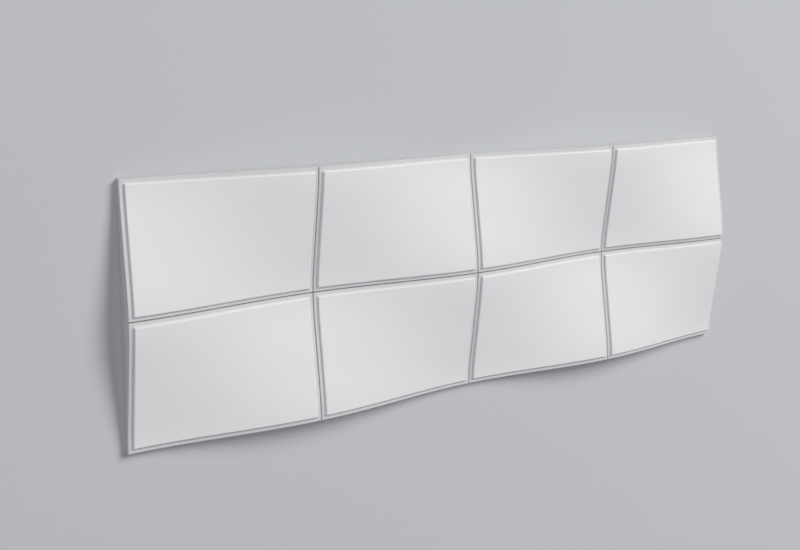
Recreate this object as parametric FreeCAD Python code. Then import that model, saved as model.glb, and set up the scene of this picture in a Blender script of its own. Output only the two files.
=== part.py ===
import FreeCAD, Part
import math
import os

# A moulded wall panel, lying on its flat back with its face up.
# The face is a grid of raised fields. It swells and dips from one grid crossing to the next,
# so that each field is twisted and its neighbours are its mirror images.
# Millimetres. The origin is the middle of the back, X runs along the panel and Z out of its face.

# Overall size
PANEL_LENGTH = 1135.0
PANEL_HEIGHT = 380.0
CORNER_THICKNESS = 10.5

# Grid of fields
COLUMNS = 4
ROWS = 2

# Wave of the face, from its middle level to a crest
WAVE_RISE = 11.6

# Step from the ledge round a field up to the field
LEDGE_WIDTH = 5.7
STEP_RUN = 1.6
STEP_HEIGHT = 3.4
FOOT_RADIUS = 0.6
SHOULDER_RADIUS = 0.9

# Groove between neighbouring fields
GROOVE_WIDTH = 2.0
GROOVE_FLOOR_WIDTH = 0.8
GROOVE_DEPTH = 5.0

# Spline spans along each side of a field
SPANS = 6

CUBIC = 3
FIELD_LENGTH = PANEL_LENGTH / COLUMNS
FIELD_HEIGHT = PANEL_HEIGHT / ROWS
LEFT = -PANEL_LENGTH / 2
BOTTOM = -PANEL_HEIGHT / 2
MIDDLE_LEVEL = CORNER_THICKNESS + WAVE_RISE

ALONG_KNOTS = [span / SPANS for span in range(SPANS + 1)]
ALONG_MULTIPLICITIES = [CUBIC + 1] + [CUBIC - 1] * (SPANS - 1) + [CUBIC + 1]


def phase_x(x):
    """Phase of the wave along the panel, from its left edge."""
    return math.pi * (x - LEFT) / FIELD_LENGTH


def phase_y(y):
    """Phase of the wave up the panel, from its bottom edge."""
    return math.pi * (y - BOTTOM) / FIELD_HEIGHT


def face_point(x, y, cosine_x, cosine_y, lift):
    """Point of the waved face, raised by lift. The panel's own corners are dips."""
    return FreeCAD.Vector(x, y, MIDDLE_LEVEL - WAVE_RISE * cosine_x * cosine_y + lift)


def cosine_poles(start, stop, phase):
    """Poles of a cubic spline that follows the cosine of phase: pairs of place and value."""
    third = (stop - start) / SPANS / CUBIC
    phase_third = (phase(stop) - phase(start)) / SPANS / CUBIC
    poles = [(start, math.cos(phase(start)))]
    for span in range(SPANS):
        low = start + span * CUBIC * third
        high = low + CUBIC * third
        poles.append((low + third, math.cos(phase(low)) - math.sin(phase(low)) * phase_third))
        poles.append((high - third, math.cos(phase(high)) + math.sin(phase(high)) * phase_third))
    poles.append((stop, math.cos(phase(stop))))
    return poles


def line_along_x(x_start, x_stop, y, lift):
    """Poles of the face's line at one height y."""
    cosine_y = math.cos(phase_y(y))
    return [face_point(x, y, cosine, cosine_y, lift)
            for x, cosine in cosine_poles(x_start, x_stop, phase_x)]


def line_along_y(x, y_start, y_stop, lift):
    """Poles of the face's line at one place x."""
    cosine_x = math.cos(phase_x(x))
    return [face_point(x, y, cosine_x, cosine, lift)
            for y, cosine in cosine_poles(y_start, y_stop, phase_y)]


def strip(rails):
    """Face that joins two rails straight, or turns from the first to the third about the second."""
    degree = len(rails) - 1
    surface = Part.BSplineSurface()
    surface.buildFromPolesMultsKnots(
        rails, [degree + 1] * 2, ALONG_MULTIPLICITIES, [0, 1], ALONG_KNOTS,
        False, False, degree, CUBIC)
    return surface.toShape()


def edge(rail):
    """Edge along one rail."""
    curve = Part.BSplineCurve()
    curve.buildFromPolesMultsKnots(rail, ALONG_MULTIPLICITIES, ALONG_KNOTS, False, CUBIC)
    return curve.toShape()


def rectangle(x_low, x_high, y_low, y_high, lift):
    """The four rails of a rectangle laid on the face: bottom, top, left and right."""
    return (line_along_x(x_low, x_high, y_low, lift),
            line_along_x(x_low, x_high, y_high, lift),
            line_along_y(x_low, y_low, y_high, lift),
            line_along_y(x_high, y_low, y_high, lift))


def step_section():
    """Section of the step as bands of (inset, lift) stations: foot, slope and shoulder."""
    slope = math.hypot(STEP_RUN, STEP_HEIGHT)
    run = STEP_RUN / slope
    rise = STEP_HEIGHT / slope
    half_turn = math.tan(math.atan2(STEP_HEIGHT, STEP_RUN) / 2)
    foot_back = FOOT_RADIUS * half_turn
    shoulder_back = SHOULDER_RADIUS * half_turn
    foot = (LEDGE_WIDTH, 0.0)
    crown = (LEDGE_WIDTH + STEP_RUN, STEP_HEIGHT)
    foot_start = (foot[0] - foot_back, 0.0)
    foot_end = (foot[0] + foot_back * run, foot_back * rise)
    crown_start = (crown[0] - shoulder_back * run, STEP_HEIGHT - shoulder_back * rise)
    crown_end = (crown[0] + shoulder_back, STEP_HEIGHT)
    return [(foot_start, foot, foot_end), (foot_end, crown_start), (crown_start, crown, crown_end)]


def groove_section():
    """Section of a groove as (full width, lift) stations: its mouth, the edges of its floor, its middle."""
    return (GROOVE_WIDTH, 0.0), (GROOVE_FLOOR_WIDTH, -GROOVE_DEPTH), (0.0, -GROOVE_DEPTH)


def field_faces(x_low, x_high, y_low, y_high, lip):
    """Faces of one raised field: its ledge, its step all round and its waved top."""
    def inset_rectangle(station):
        inset, lift = station
        return rectangle(x_low + inset, x_high - inset, y_low + inset, y_high - inset, lift)

    section = step_section()
    bands = [[lip, inset_rectangle(section[0][0])]]
    bands += [[inset_rectangle(station) for station in band] for band in section]
    faces = [strip(rails) for band in bands for rails in zip(*band)]

    inset, lift = section[-1][-1]
    columns = cosine_poles(x_low + inset, x_high - inset, phase_x)
    rows = cosine_poles(y_low + inset, y_high - inset, phase_y)
    grid = [[face_point(x, y, cosine_x, cosine_y, lift) for x, cosine_x in columns]
            for y, cosine_y in rows]
    top = Part.BSplineSurface()
    top.buildFromPolesMultsKnots(
        grid, ALONG_MULTIPLICITIES, ALONG_MULTIPLICITIES, ALONG_KNOTS, ALONG_KNOTS,
        False, False, CUBIC, CUBIC)
    return faces + [top.toShape()]


def panel_faces():
    """All faces of the panel: fields, groove walls, four sides and the back."""
    faces = []
    sides = {"bottom": [], "top": [], "left": [], "right": []}
    for column in range(COLUMNS):
        for row in range(ROWS):
            x_low = LEFT + column * FIELD_LENGTH
            x_high = x_low + FIELD_LENGTH
            y_low = BOTTOM + row * FIELD_HEIGHT
            y_high = y_low + FIELD_HEIGHT
            grooved = {"bottom": row > 0, "top": row < ROWS - 1,
                       "left": column > 0, "right": column < COLUMNS - 1}
            lip, floor, middle = (
                rectangle(x_low + grooved["left"] * width / 2, x_high - grooved["right"] * width / 2,
                          y_low + grooved["bottom"] * width / 2, y_high - grooved["top"] * width / 2, lift)
                for width, lift in groove_section())
            faces += field_faces(x_low, x_high, y_low, y_high, lip)
            for side, *rails in zip(grooved, lip, floor, middle):
                if grooved[side]:
                    faces += [strip(rails[:2]), strip(rails[1:])]
                else:
                    sides[side].append(rails)

    faces += [side_face(fields) for fields in sides.values()]
    corners = [FreeCAD.Vector(x, y, 0) for x, y in
               ((LEFT, BOTTOM), (-LEFT, BOTTOM), (-LEFT, -BOTTOM), (LEFT, -BOTTOM))]
    faces.append(Part.Face(Part.makePolygon(corners + corners[:1])))
    return faces


def side_face(fields):
    """One flat side of the panel, notched where the grooves run out. Each field gives its three rails."""
    edges = []
    for number, (lip, floor, middle) in enumerate(fields):
        edges.append(edge(lip))
        if number > 0:
            edges += [Part.makeLine(middle[0], floor[0]), Part.makeLine(floor[0], lip[0])]
        if number < len(fields) - 1:
            edges += [Part.makeLine(lip[-1], floor[-1]), Part.makeLine(floor[-1], middle[-1])]
    start = fields[0][0][0]
    stop = fields[-1][0][-1]
    start_foot = FreeCAD.Vector(start.x, start.y, 0)
    stop_foot = FreeCAD.Vector(stop.x, stop.y, 0)
    edges += [Part.makeLine(start, start_foot), Part.makeLine(start_foot, stop_foot),
              Part.makeLine(stop_foot, stop)]
    return Part.Face(Part.Wire(Part.__sortEdges__(edges)))


def wall_panel():
    """The panel as one solid."""
    shell = Part.makeShell(panel_faces())
    shell.sewShape()
    solid = Part.makeSolid(shell)
    if solid.Volume < 0:
        solid.reverse()
    return solid


os.makedirs("parts", exist_ok=True)
panel = wall_panel()
print("wall_panel valid", panel.isValid(), "closed", panel.Shells[0].isClosed(),
      "faces", len(panel.Faces), "volume", round(panel.Volume), "box", panel.BoundBox)
panel.exportStep("parts/wall_panel.step")
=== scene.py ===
"""A moulded white wall panel with a waved face of raised fields, lying on its back in soft light."""

import logging
import math
from dataclasses import dataclass
from enum import Enum

import bpy
import numpy as np
from mathutils import Matrix, Vector


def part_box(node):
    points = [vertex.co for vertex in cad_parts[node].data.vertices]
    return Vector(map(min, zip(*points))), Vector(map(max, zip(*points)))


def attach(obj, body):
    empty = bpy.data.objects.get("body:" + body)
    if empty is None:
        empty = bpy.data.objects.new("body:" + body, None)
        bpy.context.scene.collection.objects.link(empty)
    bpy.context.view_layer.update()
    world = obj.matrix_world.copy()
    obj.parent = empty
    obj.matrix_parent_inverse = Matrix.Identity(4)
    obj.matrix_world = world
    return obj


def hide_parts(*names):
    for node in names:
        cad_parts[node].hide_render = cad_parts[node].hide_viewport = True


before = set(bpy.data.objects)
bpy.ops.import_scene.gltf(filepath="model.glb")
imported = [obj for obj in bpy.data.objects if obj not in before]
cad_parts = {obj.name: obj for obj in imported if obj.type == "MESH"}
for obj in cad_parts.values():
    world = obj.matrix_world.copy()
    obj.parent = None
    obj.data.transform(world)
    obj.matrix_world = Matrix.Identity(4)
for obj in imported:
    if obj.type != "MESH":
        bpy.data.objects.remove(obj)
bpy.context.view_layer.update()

PANEL_NODE = "wall_panel"
ROOT_BODY = "root"
QUARTER_TURN = math.pi / 2
# Grid lines that agree to this many decimals of a metre are one line
LINE_DECIMALS = 7

log = logging.getLogger("wall_panel_scene")


class Side(Enum):
    """Which way a sheet of quads faces."""

    UP = 1
    DOWN = -1


@dataclass(frozen=True)
class FieldGrid:
    """Where the raised fields lie. Grid lines cross at the panel's middle. Metres.

    The step round a field is known by two distances from the grid line: to its foot and to the middle of
    its slope.
    """

    pitch_x: float
    pitch_y: float
    foot: float
    mid_slope: float


@dataclass(frozen=True)
class MouldedFinish:
    """Satin white primer on a moulded foam skin, with painted shade on the ledges, grooves, lower step walls
    and sides.

    Colours are linear red, green and blue. Sizes are in metres.
    """

    name: str = "satin_white_moulding"
    light: tuple[float, float, float] = (0.780, 0.782, 0.806)
    shade: tuple[float, float, float] = (0.750, 0.752, 0.781)
    # Painted shade: the darker tone laid on what lies off the raised fields, where occlusion and cast shadow
    # fall.
    painted_shade_tone: tuple[float, float, float] = (0.620, 0.622, 0.642)
    cloud_size: float = 0.30
    cloud_detail: float = 3.0
    roughness: tuple[float, float] = (0.46, 0.56)
    specular: float = 0.35
    skin_size: float = 0.0016
    skin_detail: float = 2.0
    skin_depth: float = 0.00002

    def painted_shade_mask(self, tree: bpy.types.NodeTree, grid: FieldGrid) -> bpy.types.NodeSocket:
        """Makes the mask of painted shade: one on what lies off the raised fields, that is the ledges,
        grooves, lower step walls and the panel's sides.

        Along each axis a sawtooth gives the distance to the nearest grid line. The smaller of the two
        runs the mask from one, at the foot of the step, to nought at the middle of its slope.

        Args:
            tree: The material's node tree.
            grid: The grid of fields.

        Returns:
            The mask's socket.
        """
        place = tree.nodes.new("ShaderNodeTexCoord")
        apart = tree.nodes.new("ShaderNodeSeparateXYZ")
        tree.links.new(place.outputs["Object"], apart.inputs["Vector"])
        nearest = tree.nodes.new("ShaderNodeMath")
        nearest.operation = "MINIMUM"
        for slot, (axis, pitch) in enumerate((("X", grid.pitch_x), ("Y", grid.pitch_y))):
            saw = tree.nodes.new("ShaderNodeMath")
            saw.operation = "PINGPONG"
            saw.inputs[1].default_value = pitch / 2
            tree.links.new(apart.outputs[axis], saw.inputs[0])
            tree.links.new(saw.outputs["Value"], nearest.inputs[slot])
        mask = tree.nodes.new("ShaderNodeMapRange")
        mask.inputs["From Min"].default_value = grid.foot
        mask.inputs["From Max"].default_value = grid.mid_slope
        mask.inputs["To Min"].default_value = 1.0
        mask.inputs["To Max"].default_value = 0.0
        tree.links.new(nearest.outputs["Value"], mask.inputs["Value"])
        return mask.outputs["Result"]

    def material(self, grid: FieldGrid) -> bpy.types.Material:
        """Makes the finish: a faint cloudiness in tone and gloss, painted shade that greys what lies off the
        fields, on a fine skin.

        Args:
            grid: The grid of fields.

        Returns:
            The node material.
        """
        material = bpy.data.materials.new(self.name)
        material.use_nodes = True
        nodes = material.node_tree.nodes
        links = material.node_tree.links
        shader = nodes["Principled BSDF"]
        shader.inputs["Specular IOR Level"].default_value = self.specular
        place = nodes.new("ShaderNodeTexCoord")

        cloud = nodes.new("ShaderNodeTexNoise")
        cloud.inputs["Scale"].default_value = 1.0 / self.cloud_size
        cloud.inputs["Detail"].default_value = self.cloud_detail
        links.new(place.outputs["Object"], cloud.inputs["Vector"])

        tone = nodes.new("ShaderNodeMix")
        tone.data_type = "RGBA"
        tone.inputs["A"].default_value = (*self.shade, 1.0)
        tone.inputs["B"].default_value = (*self.light, 1.0)
        links.new(cloud.outputs["Fac"], tone.inputs["Factor"])

        # Painted shade: the darker tone is mixed in off the raised fields, on ledges, grooves, lower step
        # walls and sides.
        painted_shade_mix = nodes.new("ShaderNodeMix")
        painted_shade_mix.data_type = "RGBA"
        painted_shade_mix.inputs["B"].default_value = (*self.painted_shade_tone, 1.0)
        links.new(tone.outputs["Result"], painted_shade_mix.inputs["A"])
        links.new(self.painted_shade_mask(material.node_tree, grid), painted_shade_mix.inputs["Factor"])
        links.new(painted_shade_mix.outputs["Result"], shader.inputs["Base Color"])

        gloss = nodes.new("ShaderNodeMapRange")
        gloss.inputs["To Min"].default_value = self.roughness[0]
        gloss.inputs["To Max"].default_value = self.roughness[1]
        links.new(cloud.outputs["Fac"], gloss.inputs["Value"])
        links.new(gloss.outputs["Result"], shader.inputs["Roughness"])

        skin = nodes.new("ShaderNodeTexNoise")
        skin.inputs["Scale"].default_value = 1.0 / self.skin_size
        skin.inputs["Detail"].default_value = self.skin_detail
        links.new(place.outputs["Object"], skin.inputs["Vector"])
        bump = nodes.new("ShaderNodeBump")
        bump.inputs["Distance"].default_value = self.skin_depth
        links.new(skin.outputs["Fac"], bump.inputs["Height"])
        links.new(bump.outputs["Normal"], shader.inputs["Normal"])
        return material


@dataclass(frozen=True)
class FloorFinish:
    """Plain matt grey of the floor, in linear red, green and blue."""

    name: str = "matt_floor"
    colour: tuple[float, float, float] = (0.537, 0.557, 0.589)
    roughness: float = 1.0
    specular: float = 0.0

    def material(self) -> bpy.types.Material:
        """Makes the floor's material.

        Returns:
            The node material.
        """
        material = bpy.data.materials.new(self.name)
        material.use_nodes = True
        shader = material.node_tree.nodes["Principled BSDF"]
        shader.inputs["Base Color"].default_value = (*self.colour, 1.0)
        shader.inputs["Roughness"].default_value = self.roughness
        shader.inputs["Specular IOR Level"].default_value = self.specular
        return material


def arc(centre: tuple[float, float], radius: float, start: float, stop: float, steps: int) -> np.ndarray:
    """Points of a round: centre plus radius times (cosine, sine) of an angle that runs evenly.

    Args:
        centre: Middle of the round.
        radius: Its radius.
        start: First angle, in radians.
        stop: Last angle, in radians.
        steps: How many steps the angle takes.

    Returns:
        One row of (distance, lift) for each point.
    """
    angle = np.linspace(start, stop, steps + 1)
    return np.column_stack((centre[0] + radius * np.cos(angle), centre[1] + radius * np.sin(angle)))


def sheet_quads(rows: int, columns: int, side: Side) -> np.ndarray:
    """Quads of a grid whose vertices are numbered row by row.

    Args:
        rows: Rows of vertices.
        columns: Columns of vertices.
        side: The side that the quads face.

    Returns:
        Four vertex numbers for each quad.
    """
    number = np.arange(rows * columns).reshape(rows, columns)
    quads = np.stack((number[:-1, :-1], number[:-1, 1:], number[1:, 1:], number[1:, :-1]), axis=-1)
    return quads.reshape(-1, 4)[:, ::side.value]


def border(rows: int, columns: int) -> np.ndarray:
    """Vertex numbers round the border of a grid, turning to the left as seen from above.

    Args:
        rows: Rows of vertices.
        columns: Columns of vertices.

    Returns:
        The numbers in order, each once.
    """
    number = np.arange(rows * columns).reshape(rows, columns)
    return np.concatenate((number[0, :-1], number[:-1, -1], number[-1, :0:-1], number[:0:-1, 0]))


def band_quads(lower: np.ndarray, upper: np.ndarray) -> np.ndarray:
    """Quads of a closed band between two loops of equal length, facing out.

    Args:
        lower: Vertex numbers of the lower loop, turning to the left as seen from above.
        upper: Vertex numbers of the upper loop, beside the lower ones.

    Returns:
        Four vertex numbers for each quad.
    """
    return np.stack((lower, np.roll(lower, -1), np.roll(upper, -1), upper), axis=-1)


def mesh_object(name: str, points: np.ndarray, quads: np.ndarray) -> bpy.types.Object:
    """Puts points and quads into a smooth mesh object at the origin.

    Args:
        name: Name of the object and its mesh.
        points: One row of x, y, z for each vertex.
        quads: Four vertex numbers for each face.

    Returns:
        The object, linked to the scene.
    """
    mesh = bpy.data.meshes.new(name)
    mesh.vertices.add(len(points))
    mesh.vertices.foreach_set("co", points.astype(np.float32).ravel())
    mesh.loops.add(quads.size)
    mesh.loops.foreach_set("vertex_index", quads.astype(np.int32).ravel())
    mesh.polygons.add(len(quads))
    mesh.polygons.foreach_set("loop_start", np.arange(0, quads.size, 4, dtype=np.int32))
    mesh.polygons.foreach_set("use_smooth", np.ones(len(quads), dtype=bool))
    mesh.update(calc_edges=True)
    mesh.validate()
    made = bpy.data.objects.new(name, mesh)
    bpy.context.scene.collection.objects.link(made)
    return made


@dataclass
class WallPanel:
    """The panel: a waved face of raised fields, four flat sides and a flat back. Metres.

    The mesh takes arc_steps quads round each bend, one more line at the support's distance beside the
    step and the back edge, and lines about a cell apart on the fields.
    """

    length: float
    height: float
    columns: int = 4
    rows: int = 2
    corner_thickness: float = 0.0105
    wave_rise: float = 0.0116
    wave_tautness: float = 0.055
    ledge_width: float = 0.0057
    step_run: float = 0.0016
    step_height: float = 0.0034
    foot_radius: float = 0.0016
    shoulder_radius: float = 0.0020
    field_corner_radius: float = 0.0022
    groove_width: float = 0.0020
    groove_floor_width: float = 0.0008
    groove_depth: float = 0.0050
    lip_radius: float = 0.0004
    edge_radius: float = 0.0007
    back_edge_radius: float = 0.0005
    arc_steps: int = 4
    cell: float = 0.0075
    support: float = 0.0006

    def step_section(self) -> np.ndarray:
        """Section of the step round a field: ledge, round foot, straight slope, round shoulder.

        The foot's round touches the ledge and the slope, and the shoulder's round touches the slope
        and the top of the field. Distances are counted from the foot of the sharp step.

        Returns:
            Rows of (distance inwards, lift).
        """
        slope = math.atan2(self.step_height, self.step_run)
        half_turn = math.tan(slope / 2)
        foot_centre = (-self.foot_radius * half_turn, self.foot_radius)
        foot = arc(foot_centre, self.foot_radius, -QUARTER_TURN, slope - QUARTER_TURN, self.arc_steps)
        shoulder_centre = (self.step_run + self.shoulder_radius * half_turn,
                           self.step_height - self.shoulder_radius)
        shoulder = arc(shoulder_centre, self.shoulder_radius,
                       QUARTER_TURN + slope, QUARTER_TURN, self.arc_steps)
        return np.concatenate((foot, shoulder))

    def groove_section(self) -> np.ndarray:
        """Half the section of a groove: flat floor, steep wall and round lip, up to the ledge.

        The wall is the line from the floor's edge to the lip's edge, before the lip is rounded.

        Returns:
            Rows of (distance from the groove's middle, lift).
        """
        half_width = self.groove_width / 2
        half_floor = self.groove_floor_width / 2
        wall = math.atan2(self.groove_depth, half_width - half_floor)
        floor = np.array(((0.0, -self.groove_depth), (half_floor, -self.groove_depth)))
        lip_centre = (half_width + self.lip_radius * math.tan(wall / 2), -self.lip_radius)
        lip = arc(lip_centre, self.lip_radius, QUARTER_TURN + wall, QUARTER_TURN, self.arc_steps)
        return np.concatenate((floor, lip))

    def edge_section(self) -> np.ndarray:
        """Section of the panel's front edge: a quarter round from the side up to the ledge.

        Returns:
            Rows of (distance inwards, lift).
        """
        centre = (self.edge_radius, -self.edge_radius)
        return arc(centre, self.edge_radius, 2 * QUARTER_TURN, QUARTER_TURN, self.arc_steps)

    def lines(self, size: float, count: int) -> np.ndarray:
        """Places of the grid's lines along one axis, close together where the section bends.

        Args:
            size: The panel's size along the axis, centred on zero.
            count: Fields along the axis.

        Returns:
            The places in rising order.
        """
        pitch = size / count
        step = self.step_section()[:, 0] + self.ledge_width
        bends = np.concatenate((self.groove_section()[:, 0], self.edge_section()[:, 0], step,
                                [step[0] - self.support, step[-1] + self.support]))
        inner = np.unique(np.round(bends, LINE_DECIMALS))
        middle = np.linspace(inner[-1], pitch - inner[-1], round((pitch - 2 * inner[-1]) / self.cell) + 1)
        field = np.concatenate((inner, middle[1:-1], pitch - inner[::-1]))
        starts = np.arange(count) * pitch - size / 2
        return np.unique(np.round(starts[:, None] + field, LINE_DECIMALS))

    def to_grid_line(self, place: np.ndarray, size: float, count: int) -> np.ndarray:
        """Distance of each place to the nearest line between fields, or to the panel's edge.

        Args:
            place: Places along one axis, centred on zero.
            size: The panel's size along the axis.
            count: Fields along the axis.

        Returns:
            The distances.
        """
        pitch = size / count
        within = np.mod(place + size / 2, pitch)
        return np.minimum(within, pitch - within)

    def groove(self, place: np.ndarray, size: float, count: int) -> np.ndarray:
        """Lift that the grooves across one axis give at each place, nought at the panel's two edges.

        Args:
            place: Places along one axis, centred on zero.
            size: The panel's size along the axis.
            count: Fields along the axis.

        Returns:
            The lifts, which are not above nought.
        """
        section = self.groove_section()
        lift = np.interp(self.to_grid_line(place, size, count), section[:, 0], section[:, 1])
        at_edge = np.abs(place) > size / 2 - self.ledge_width
        return np.where(at_edge, 0.0, lift)

    def face_height(self, x: np.ndarray, y: np.ndarray) -> np.ndarray:
        """Height of the face over each point.

        Middle level, less the wave's rise times the product of two cosines that turn half a turn in
        each field, plus the step's lift by the distance inside the field's rounded outline, plus the
        deeper of the two grooves, plus the round of the panel's edge. The wave up the panel is pulled
        taut between its crests and dips: its cosine has a share of the cosine of three times its phase
        added, and the sum is scaled back to a rise of one.

        Args:
            x: Places along the panel.
            y: Places up the panel.

        Returns:
            The heights above the back.
        """
        phase_x = np.pi * (x / self.length + 0.5) * self.columns
        phase_y = np.pi * (y / self.height + 0.5) * self.rows
        taut = (np.cos(phase_y) + self.wave_tautness * np.cos(3 * phase_y)) / (1 + self.wave_tautness)
        wave = -self.wave_rise * np.cos(phase_x) * taut

        step = self.step_section()
        radius = self.field_corner_radius
        inside_x = self.to_grid_line(x, self.length, self.columns) - self.ledge_width
        inside_y = self.to_grid_line(y, self.height, self.rows) - self.ledge_width
        corner = radius - np.hypot(np.maximum(radius - inside_x, 0.0), np.maximum(radius - inside_y, 0.0))
        nearest = np.minimum(inside_x, inside_y)
        inside = np.where(nearest < radius, corner, nearest)
        field = np.interp(inside, step[:, 0], step[:, 1])

        grooves = np.minimum(self.groove(x, self.length, self.columns),
                             self.groove(y, self.height, self.rows))

        edge = self.edge_section()
        to_edge = np.minimum(self.length / 2 - np.abs(x), self.height / 2 - np.abs(y))
        rounded = np.interp(to_edge, edge[:, 0], edge[:, 1])
        return self.corner_thickness + self.wave_rise + wave + field + grooves + rounded

    def build(self) -> bpy.types.Object:
        """Makes the panel as one closed mesh.

        The face is the grid of all lines at the face's height. The back is the same grid, drawn in by
        the back edge's radius, on the floor. Between their borders stand the sides: a band down to the
        round of the back edge, and the round itself.

        Returns:
            The mesh object.
        """
        x, y = np.meshgrid(self.lines(self.length, self.columns), self.lines(self.height, self.rows))
        rows, columns = x.shape
        count = x.size
        front = np.column_stack((x.ravel(), y.ravel(), self.face_height(x, y).ravel()))

        around = border(rows, columns)
        plan = front[around, :2]
        half = np.array((self.length / 2, self.height / 2))
        radius = self.back_edge_radius
        back_round = arc((radius, radius), radius, 2 * QUARTER_TURN, 3 * QUARTER_TURN, self.arc_steps)
        insets = np.concatenate(([0.0], back_round[:-1, 0]))
        levels = np.concatenate(([radius + self.support], back_round[:-1, 1]))
        rings = len(levels)
        shrink = 1.0 - insets[:, None] / half
        heights = np.broadcast_to(levels[:, None, None], (rings, len(plan), 1))
        skirt = np.concatenate((plan[None] * shrink[:, None, :], heights), axis=2)

        back = np.column_stack((front[:, :2] * (1.0 - radius / half), np.zeros(count)))
        points = np.concatenate((front, skirt.reshape(-1, 3), back))
        first_of_back = len(points) - count
        skirt_loops = count + np.arange(rings * len(around)).reshape(rings, -1)
        loops = [around, *skirt_loops, around + first_of_back]
        sides = [band_quads(lower, upper) for upper, lower in zip(loops, loops[1:])]
        quads = np.concatenate((sheet_quads(rows, columns, Side.UP), *sides,
                                sheet_quads(rows, columns, Side.DOWN) + first_of_back))
        return mesh_object("moulded_panel", points, quads)

    def dress(self, panel: bpy.types.Object, finish: MouldedFinish) -> None:
        """Gives the panel its finish and its place in the frame, and hides the part that it stands in for.

        Args:
            panel: The panel's object.
            finish: Its finish.
        """
        foot = self.ledge_width
        grid = FieldGrid(self.length / self.columns, self.height / self.rows, foot, foot + self.step_run / 2)
        panel.data.materials.append(finish.material(grid))
        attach(panel, ROOT_BODY)
        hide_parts(PANEL_NODE)


@dataclass
class Floor:
    """A plain square floor under the panel."""

    reach: float = 30.0

    def build(self, finish: FloorFinish) -> bpy.types.Object:
        """Makes the floor.

        Args:
            finish: The floor's finish.

        Returns:
            The floor's object.
        """
        x, y = np.meshgrid((-self.reach, self.reach), (-self.reach, self.reach))
        points = np.column_stack((x.ravel(), y.ravel(), np.zeros(x.size)))
        floor = mesh_object("floor", points, sheet_quads(2, 2, Side.UP))
        floor.data.materials.append(finish.material())
        return floor


@dataclass(frozen=True)
class SoftLamp:
    """One lamp of the given breadth, as seen from the panel, and the light that it gives there.

    Directions point from the panel to the lamp. Power is in watts for each square metre.
    """

    name: str
    direction: tuple[float, float, float]
    breadth_deg: float
    power: float
    colour: tuple[float, float, float]

    def place(self, lamp: bpy.types.Light, distance: float) -> None:
        """Puts a lamp at a distance from the panel, turned to it.

        Args:
            lamp: The lamp.
            distance: How far off it is, in metres.
        """
        lamp.color = self.colour
        holder = bpy.data.objects.new(self.name, lamp)
        holder.location = Vector(self.direction).normalized() * distance
        holder.rotation_euler = Vector(self.direction).to_track_quat("Z", "Y").to_euler()
        bpy.context.scene.collection.objects.link(holder)

    def build_box(self, distance: float) -> None:
        """Makes a round soft box, whose light falls off a little across the panel.

        The box's radius is the distance times the tangent of half the breadth. Its power is what spreads
        the wanted light over a disc of the distance's radius, less the loss towards the box's rim.

        Args:
            distance: How far off it is, in metres.
        """
        lamp = bpy.data.lights.new(self.name, "AREA")
        half = math.radians(self.breadth_deg) / 2
        lamp.shape = "DISK"
        lamp.size = 2 * distance * math.tan(half)
        lamp.energy = self.power * math.pi * (distance / math.cos(half)) ** 2
        self.place(lamp, distance)

    def build_far(self) -> None:
        """Makes a lamp that is so far off that its light is even."""
        lamp = bpy.data.lights.new(self.name, "SUN")
        lamp.energy = self.power
        lamp.angle = math.radians(self.breadth_deg)
        self.place(lamp, distance=0.0)


@dataclass
class StudioLight:
    """A soft box at the upper right, a broad lamp in front, and a little fill from all round."""

    key: SoftLamp = SoftLamp("key", (0.550, 0.550, 0.628), 30.0, 2.93, (1.0, 0.985, 0.94))
    key_distance: float = 14.0
    front: SoftLamp = SoftLamp("front", (-0.52, -0.15, 0.84), 80.0, 1.10, (0.99, 0.975, 1.02))
    fill_colour: tuple[float, float, float] = (0.99, 0.975, 1.02)
    fill_power: float = 0.042

    def build(self) -> None:
        """Makes the two lamps and the fill."""
        self.key.build_box(self.key_distance)
        self.front.build_far()
        world = bpy.data.worlds.new("fill")
        world.use_nodes = True
        background = world.node_tree.nodes["Background"]
        background.inputs["Color"].default_value = (*self.fill_colour, 1.0)
        background.inputs["Strength"].default_value = self.fill_power
        bpy.context.scene.world = world


@dataclass
class StudioCamera:
    """The camera: above the panel's left half, looking down to the right.

    Its place is in metres and its roll in degrees. Focal length, width and shift are in pixels of the
    picture, and the sensor is in millimetres. Back points from what it looks at to the camera.
    """

    place: tuple[float, float, float] = (-0.9539, 0.3720, 1.3580)
    back: tuple[float, float, float] = (-0.51597, 0.13003, 0.84668)
    roll_deg: float = -0.06
    focal_pixels: float = 1034.6
    image_width: int = 800
    shift_pixels: float = -99.7
    sensor: float = 36.0

    def build(self) -> None:
        """Makes the camera and sets it as the scene's."""
        back = Vector(self.back).normalized()
        right = Vector((0.0, 1.0, 0.0)).cross(back).normalized()
        up = back.cross(right)
        turn = Matrix((right, up, back)).transposed() @ Matrix.Rotation(math.radians(self.roll_deg), 3, "Z")
        lens = bpy.data.cameras.new("camera")
        lens.sensor_width = self.sensor
        lens.lens = self.focal_pixels * self.sensor / self.image_width
        lens.shift_y = self.shift_pixels / self.image_width
        camera = bpy.data.objects.new("camera", lens)
        camera.matrix_world = Matrix.Translation(self.place) @ turn.to_4x4()
        bpy.context.scene.collection.objects.link(camera)
        bpy.context.scene.camera = camera


def main() -> None:
    """Builds the panel, the floor, the light and the camera in order."""
    logging.basicConfig(level=logging.INFO, format="%(name)s: %(message)s")
    bpy.context.scene.view_settings.view_transform = "Standard"

    low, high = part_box(PANEL_NODE)
    panel = WallPanel(length=high.x - low.x, height=high.y - low.y)
    piece = panel.build()
    panel.dress(piece, MouldedFinish())
    log.info("%s has %d faces", piece.name, len(piece.data.polygons))

    Floor().build(FloorFinish())
    StudioLight().build()
    StudioCamera().build()


if __name__ == "__main__":
    main()
